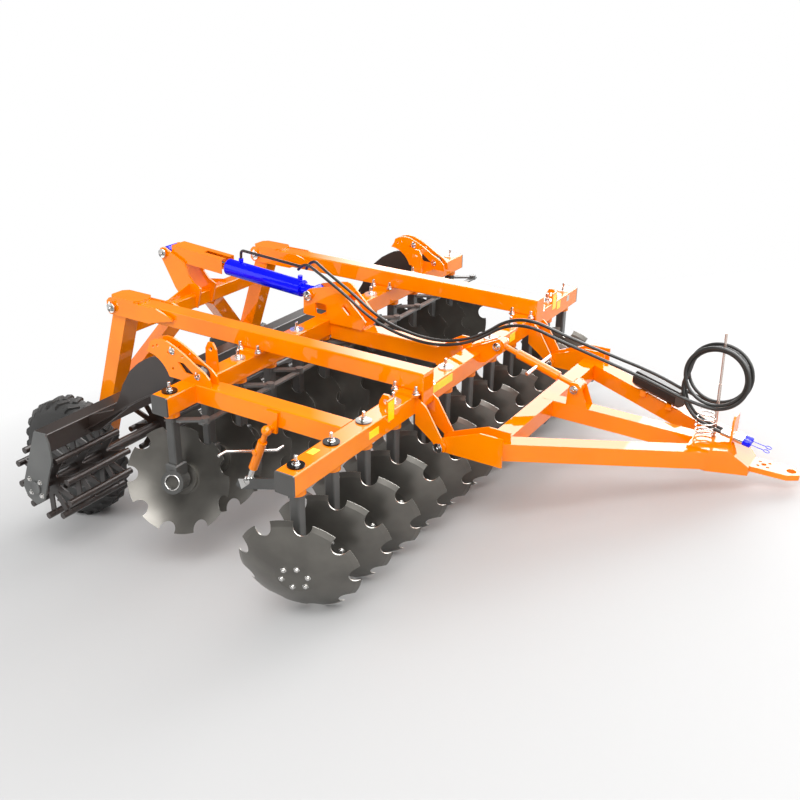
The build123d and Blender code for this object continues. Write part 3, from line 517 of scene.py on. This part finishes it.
def carcass(name):
    radius, half, rim = tyreSizes["radius"] - tyreSizes["lugHeight"], tyreSizes["half"], tyreSizes["rim"]
    outline = [(rim, -half + 0.032), (rim + 0.02, -half + 0.010), (rim + 0.045, -half + 0.003),
               (radius - 0.120, -half), (radius - 0.070, -half + 0.004), (radius - 0.035, -half + 0.014),
               (radius - 0.010, -half + 0.038), (radius, -half + 0.075), (radius, half - 0.075),
               (radius - 0.010, half - 0.038), (radius - 0.035, half - 0.014), (radius - 0.070, half - 0.004),
               (radius - 0.120, half), (rim + 0.045, half - 0.003), (rim + 0.02, half - 0.010),
               (rim, half - 0.032)]
    mesh = bpy.data.meshes.new(name)
    mesh.from_pydata([(0, y, r) for r, y in outline], [(i, (i + 1) % 16) for i in range(16)], [])
    piece = bpy.data.objects.new(name, mesh)
    bpy.context.scene.collection.objects.link(piece)
    deselectAll()
    piece.select_set(True)
    bpy.context.view_layer.objects.active = piece
    turned = piece.modifiers.new("turned", "SCREW")
    turned.axis, turned.angle, turned.steps, turned.render_steps = "Y", 2 * pi, 96, 96
    turned.use_merge_vertices = True
    bpy.ops.object.modifier_apply(modifier=turned.name)
    bpy.ops.object.mode_set(mode="EDIT")
    bpy.ops.mesh.select_all(action="SELECT")
    bpy.ops.mesh.remove_doubles(threshold=0.0002)
    bpy.ops.mesh.normals_make_consistent(inside=False)
    bpy.ops.object.mode_set(mode="OBJECT")
    return piece


def lug(side):
    # a tread block that bends down over the shoulder
    height, length = tyreSizes["lugHeight"] + 0.012, tyreSizes["lugLength"]
    centre = (0, side * (length / 2 + 0.004), -height / 2)
    piece = block("lug", tyreSizes["lugWidth"], length, height, centre)
    deselectAll()
    piece.select_set(True)
    bpy.context.view_layer.objects.active = piece
    bpy.ops.object.mode_set(mode="EDIT")
    bpy.ops.mesh.select_mode(type="FACE")
    bpy.ops.mesh.select_all(action="DESELECT")
    bpy.ops.object.mode_set(mode="OBJECT")
    for face in piece.data.polygons:
        face.select = face.normal.y * side > 0.9
    bpy.ops.object.mode_set(mode="EDIT")
    bpy.ops.mesh.extrude_region_move(TRANSFORM_OT_translate={"value": (0.004, side * 0.026, -0.026)})
    bpy.ops.transform.resize(value=(0.86, 1, 1))
    bpy.ops.mesh.select_all(action="SELECT")
    bpy.ops.mesh.normals_make_consistent(inside=False)
    bpy.ops.object.mode_set(mode="OBJECT")
    return bevelled(piece, 0.003)


wheelSpots = {"right": -1, "left": 1}
for sideName, side in wheelSpots.items():
    body = "wheel_" + sideName
    axle = Vector(joints[body + "_roll"]["pos_m"])
    axle.y = side * 1.0
    blocks = []
    for half in (-1, 1):
        pattern = lug(half)
        for i in range(tyreSizes["lugCount"]):
            turn = 2 * pi * (i + (0.5 if half > 0 else 0)) / tyreSizes["lugCount"]
            copy = pattern.copy()
            copy.data = pattern.data.copy()
            raised = Matrix.Translation((0, 0, tyreSizes["radius"] - tyreSizes["floorRoom"]))
            leaning = Matrix.Rotation(radians(half * tyreSizes["lugTurn"]), 4, "Z")
            copy.data.transform(Matrix.Rotation(turn, 4, "Y") @ raised @ leaning)
            bpy.context.scene.collection.objects.link(copy)
            blocks.append(copy)
        bpy.data.objects.remove(pattern)
    tyre = joined("treadTyre_" + sideName, [carcass("carcass")] + blocks)
    tyre.data.transform(Matrix.Translation(axle))
    finished(tyre, "tyreRubber", body, 40)
    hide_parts("tyre_" + sideName)
    places = []
    for i in range(6):
        angle = 2 * pi * i / 6
        spot = axle + Vector((0.0775 * cos(angle), side * 0.037, 0.0775 * sin(angle)))
        places.append(standing(spot, (0, side, 0)))
    repeated("wheelNuts_" + sideName, nutOnStud(0.013, 1.7), places, "brightSteel", body)
    cap = insetTop(bevelled(cylinder("hubCap", 0.05, 0, 0.022, 36), 0.006, 2), 0.014, 0.008)
    repeated("hubCap_" + sideName, cap, [standing(axle + Vector((0, side * 0.096, 0)), (0, side, 0))],
             "darkPaint", "wheel_frame")
print("tyres made")

# Hoses: one smooth line each, from the cylinder's ports to the couplers
hoseRuns = {
    "hose_a": ((-236, -22, 292), (-150, -66, 372), (14, -122, 334), (136, -134, 280), (257, -134, 212),
               (417, -134, 112), (600, -134, 42), (880, -134, 10), (1098, -134, 54), (1260, -134, 136),
               (1400, -124, 242), (1565, -108, 270), (1760, -92, 208), (2000, -86, 152), (2311, -66, 72),
               (2500, -48, 4)),
    "hose_b": ((-200, 22, 292), (-110, -30, 396), (30, -90, 356), (150, -102, 300), (275, -102, 232),
               (435, -102, 130), (615, -102, 60), (890, -102, 28), (1110, -102, 76), (1268, -102, 158),
               (1400, -92, 266), (1560, -72, 296), (1760, -54, 234), (2010, -42, 176), (2318, 10, 94),
               (2500, 50, 8)),
}
hoseTails = {
    "hose_a": ((2484, -20, 60), (2530, -20, -60), (2620, -20, -136), (2740, -22, -158)),
    "hose_b": ((2484, 20, 60), (2530, 20, -60), (2620, 20, -136), (2740, 22, -158)),
}
hoseCoil = {"x": 2669, "z": 164, "firstRadius": 188, "perTurn": -17, "turns": 1.75, "points": 28,
            "outerY": 44, "innerY": 20, "diameter": 0.020}
for name, run in hoseRuns.items():
    side = -1 if name == "hose_a" else 1
    route = list(run)
    for i in range(hoseCoil["points"] + 1):
        share = i / hoseCoil["points"]
        turn = share * hoseCoil["turns"]
        radius = hoseCoil["firstRadius"] + hoseCoil["perTurn"] * turn
        angle = -pi / 2 + 2 * pi * turn
        y = side * (hoseCoil["outerY"] + (hoseCoil["innerY"] - hoseCoil["outerY"]) * share)
        route.append((hoseCoil["x"] + radius * cos(angle), y, hoseCoil["z"] + radius * sin(angle)))
    route += hoseTails[name]
    curve = bpy.data.curves.new(name + "_line", "CURVE")
    curve.dimensions = "3D"
    curve.bevel_depth = hoseCoil["diameter"] / 2
    curve.bevel_resolution = 5
    curve.resolution_u = 10
    curve.use_fill_caps = True
    spline = curve.splines.new("NURBS")
    spline.points.add(len(route) - 1)
    for point, place in zip(spline.points, route):
        point.co = (*parked(*place), 1)
    spline.order_u = 3
    spline.use_endpoint_u = True
    hose = bpy.data.objects.new(name + "_line", curve)
    bpy.context.scene.collection.objects.link(hose)
    curve.materials.append(paint["hoseRubber"])
    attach(hose, "frame")
    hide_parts(name, name + "_coil", name + "_tail")
print("hoses laid")

# The adjuster's handle is a cranked bar across the sleeve; the copied adjuster gives up its straight one
crank = {"centre": (560, -1480, -262), "way": (0.484, 0.851, -0.204), "low": -190, "high": 116, "bend": 60,
         "radius": 0.0085, "straight": 0.014, "sleeve": 0.028,
         "boss": 0.016, "bossHalf": 0.034}
adjuster = nodes["angle_adjuster"].copy()
adjuster.data = nodes["angle_adjuster"].data.copy()
adjuster.name = "crankedAdjuster"
bpy.context.scene.collection.objects.link(adjuster)
middle = parked(*crank["centre"])
shape = bmesh.new()
shape.from_mesh(adjuster.data)
reaches = [(face, face.calc_center_median() - middle) for face in shape.faces]
across = [face for face, reach in reaches
          if reach.xz.length < crank["straight"] and abs(reach.y) > crank["sleeve"]]
bmesh.ops.delete(shape, geom=across, context="FACES")
shape.to_mesh(adjuster.data)
shape.free()
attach(adjuster, "frame")
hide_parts("angle_adjuster")
start, way = Vector(crank["centre"]), Vector(crank["way"]).normalized()
ends = (start + way * crank["low"], start + way * crank["high"])
bar = bpy.data.curves.new("adjusterHandle", "CURVE")
bar.dimensions = "3D"
bar.bevel_depth = crank["radius"]
bar.bevel_resolution = 4
bar.use_fill_caps = True
line = bar.splines.new("POLY")
line.points.add(3)
for point, place in zip(line.points, (ends[0] - Vector((0, crank["bend"], 0)), *ends,
                                      ends[1] + Vector((0, crank["bend"], 0)))):
    point.co = (*parked(*place), 1)
handle = bpy.data.objects.new("adjusterHandle", bar)
bpy.context.scene.collection.objects.link(handle)
bar.materials.append(paint["brightSteel"])
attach(handle, "frame")
boss = bevelled(cylinder("boss", crank["boss"], -crank["bossHalf"], crank["bossHalf"], 28), 0.002, 2)
repeated("handleBoss", boss, [standing(middle, (0, 1, 0))], "orangePaint", "frame")

# Dust caps on the couplers with their pull wires
capSizes = {"radius": 0.021, "length": 0.045, "wire": 0.0022, "wireLength": 0.075, "ring": 0.016}
for name, tail in hoseTails.items():
    before, end = Vector(tail[-2]), Vector(tail[-1])
    way = tilt @ (end - before).normalized()
    start = parked(*(end + (end - before).normalized() * 126))
    shell = bevelled(cylinder("cap", capSizes["radius"], 0, capSizes["length"], 28), 0.003, 2)
    shell = insetTop(shell, 0.008, 0.004)
    wireEnd = capSizes["length"] + capSizes["wireLength"]
    wire = cylinder("wire", capSizes["wire"], capSizes["length"], wireEnd, 10)
    deselectAll()
    bpy.ops.mesh.primitive_torus_add(major_radius=capSizes["ring"], minor_radius=capSizes["wire"],
                                     major_segments=28, minor_segments=8,
                                     location=(0, 0, wireEnd + capSizes["ring"]),
                                     rotation=(pi / 2, 0, 0))
    ring = applied(bpy.context.object)
    cap = joined("cap", [shell, wire, ring])
    repeated(name + "_dustCap", cap, [standing(start, way)], "bluePaint", "frame")

# Blank labels on the front beam: side view place, size and face
labels = {"face": 1210.6, "thickness": 0.0012, "middle": 0.6, "edge": 0.0005, "topX": 1130,
          "topY": -1716, "topSize": (0.045, 0.062)}
labelPlates = ((-1276, -57, 96, 46), (-523, -38, 235, 52), (-1105, 8, 62, 118), (424, -46, 82, 58),
               (1196, -40, 60, 58), (1112, 8, 58, 112))
backPlates = {"rightY": -1105, "leftY": 1112, "width": 0.076, "height": 0.18, "thickness": 0.010, "z": -14}
faceTurn = tilt.to_4x4()


def labelPlate(name, y, z, width, height, material):
    plate = bevelled(block(name, labels["thickness"], width / 1000, height / 1000), labels["edge"])
    matrix = Matrix.Translation(parked(labels["face"], y, z)) @ faceTurn
    repeated(name, plate, [matrix], material, "frame")


for i, (y, z, width, height) in enumerate(labelPlates):
    labelPlate(f"label{i + 1}", y, z, width, height, "yellowLabel")
labelPlate("greyLabel", 1368, -36, 44, 44, "greyLabel")
topLabel = bevelled(block("topLabel", *labels["topSize"], labels["thickness"]), labels["edge"])
topPlace = Matrix.Translation(parked(labels["topX"], labels["topY"], labels["middle"])) @ faceTurn
repeated("topLabel", topLabel, [topPlace], "yellowLabel", "frame")
holder = block("labelHolder", backPlates["thickness"], backPlates["width"], backPlates["height"])
holder = bevelled(holder, 0.002)
holderX = labels["face"] - labels["middle"] - 500 * backPlates["thickness"]
places = [Matrix.Translation(parked(holderX, backPlates[side], backPlates["z"])) @ faceTurn
          for side in ("rightY", "leftY")]
repeated("labelHolders", holder, places, "orangePaint", "frame")

# Spring at the foot of the hose stand
springSizes = {"x": 2645, "z": -205, "turns": 5.5, "low": 0.052, "high": 0.040, "rise": 150, "wire": 0.004,
               "points": 88}
curve = bpy.data.curves.new("standSpring", "CURVE")
curve.dimensions = "3D"
curve.bevel_depth = springSizes["wire"]
curve.bevel_resolution = 3
curve.use_fill_caps = True
spline = curve.splines.new("NURBS")
spline.points.add(springSizes["points"])
for i, point in enumerate(spline.points):
    share = i / springSizes["points"]
    angle = 2 * pi * springSizes["turns"] * share
    swell = sin(pi * share) * 0.012
    radius = 1000 * (springSizes["low"] + (springSizes["high"] - springSizes["low"]) * share + swell)
    point.co = (*parked(springSizes["x"] + radius * cos(angle), radius * sin(angle),
                        springSizes["z"] + 6 + springSizes["rise"] * share), 1)
spline.order_u = 3
spline.use_endpoint_u = True
spring = bpy.data.objects.new("standSpring", curve)
bpy.context.scene.collection.objects.link(spring)
curve.materials.append(paint["brightSteel"])
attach(spring, "frame")
print("small pieces made")

# Floor, light and camera
floorSizes = {"half": 45, "near": 3.4, "far": 7.5, "centre": (-1.7, -2.2)}
deselectAll()
bpy.ops.mesh.primitive_plane_add(size=2 * floorSizes["half"], location=(0, 0, cadBox[0][2]))
floor = bpy.context.object
floor.name = "floor"
material, tree, shader, place = startMaterial("floorPaint", (0.50, 0.50, 0.50), 0.6)
distance = tree.nodes.new("ShaderNodeVectorMath")
distance.operation = "LENGTH"
centred = tree.nodes.new("ShaderNodeMapping")
centred.inputs["Location"].default_value = (-floorSizes["centre"][0], -floorSizes["centre"][1], 0)
tree.links.new(place.outputs["Object"], centred.inputs["Vector"])
tree.links.new(centred.outputs["Vector"], distance.inputs[0])
fade = tree.nodes.new("ShaderNodeMapRange")
fade.inputs["From Min"].default_value = floorSizes["near"]
fade.inputs["From Max"].default_value = floorSizes["far"]
tree.links.new(distance.outputs["Value"], fade.inputs["Value"])
white = tree.nodes.new("ShaderNodeEmission")
mixed = tree.nodes.new("ShaderNodeMixShader")
tree.links.new(fade.outputs["Result"], mixed.inputs["Fac"])
tree.links.new(shader.outputs["BSDF"], mixed.inputs[1])
tree.links.new(white.outputs["Emission"], mixed.inputs[2])
tree.links.new(mixed.outputs["Shader"], tree.nodes["Material Output"].inputs["Surface"])
floor.data.materials.append(material)

world = bpy.data.worlds.new("studio")
bpy.context.scene.world = world
world.use_nodes = True
tree = world.node_tree
# Shiny faces see one large soft panel behind the machine's left side and a dim room elsewhere
room = {"panelAzimuth": radians(125), "panel": 5.2, "dim": 0.2, "edge": 0.035, "diffuse": 0.86}
edgeWay = parkedWay(cos(room["panelAzimuth"] - pi / 2), sin(room["panelAzimuth"] - pi / 2), 0)
heading = tree.nodes.new("ShaderNodeTexCoord")
facing = tree.nodes.new("ShaderNodeVectorMath")
facing.operation = "DOT_PRODUCT"
facing.inputs[1].default_value = edgeWay
tree.links.new(heading.outputs["Generated"], facing.inputs[0])
panel = tree.nodes.new("ShaderNodeMapRange")
panel.inputs["From Min"].default_value = -room["edge"]
panel.inputs["From Max"].default_value = room["edge"]
panel.inputs["To Min"].default_value = room["dim"]
panel.inputs["To Max"].default_value = room["panel"]
tree.links.new(facing.outputs["Value"], panel.inputs["Value"])
lightPath = tree.nodes.new("ShaderNodeLightPath")
byShine = tree.nodes.new("ShaderNodeMix")
byShine.inputs["A"].default_value = room["diffuse"]
tree.links.new(lightPath.outputs["Is Glossy Ray"], byShine.inputs["Factor"])
tree.links.new(panel.outputs["Result"], byShine.inputs["B"])
byView = tree.nodes.new("ShaderNodeMix")
byView.inputs["B"].default_value = 1.0
tree.links.new(lightPath.outputs["Is Camera Ray"], byView.inputs["Factor"])
tree.links.new(byShine.outputs["Result"], byView.inputs["A"])
tree.nodes["Background"].inputs["Color"].default_value = (1, 1, 1, 1)
tree.links.new(byView.outputs["Result"], tree.nodes["Background"].inputs["Strength"])

lamps = {
    "keyLamp": {"at": (1.5, -5.5, 7.5), "size": 5.0, "power": 560},
    "rimLamp": {"at": (1.0, 9.0, 5.0), "size": 7.0, "power": 600},
    "fillLamp": {"at": (-9.0, -4.0, 5.0), "size": 6.0, "power": 180},
}
lampAim = Vector((-2.6, 0, 0.6))
for name, lamp in lamps.items():
    data = bpy.data.lights.new(name, "AREA")
    data.size, data.energy = lamp["size"], lamp["power"]
    light = bpy.data.objects.new(name, data)
    bpy.context.scene.collection.objects.link(light)
    light.location = lamp["at"]
    aim = lampAim - light.location
    light.rotation_euler = aim.to_track_quat("-Z", "Y").to_euler()

view = {"at": (3802, -5249, 2306), "right": (0.8453, 0.5342, 0.0077), "up": (-0.2279, 0.3476, 0.9095),
        "lens": 44.2, "sensor": 36.0, "shift": 0.0124}
right, up = parkedWay(*view["right"]), parkedWay(*view["up"])
back = right.cross(up).normalized()
camera = bpy.data.objects.new("camera", bpy.data.cameras.new("camera"))
bpy.context.scene.collection.objects.link(camera)
up = back.cross(right)
cameraTurn = Matrix((right, up, back)).transposed().to_4x4()
camera.matrix_world = Matrix.Translation(parked(*view["at"])) @ cameraTurn
camera.data.lens = view["lens"]
camera.data.sensor_width = view["sensor"]
camera.data.shift_x = view["shift"]
bpy.context.scene.camera = camera
bpy.context.scene.view_settings.view_transform = "Standard"
print("stage set")
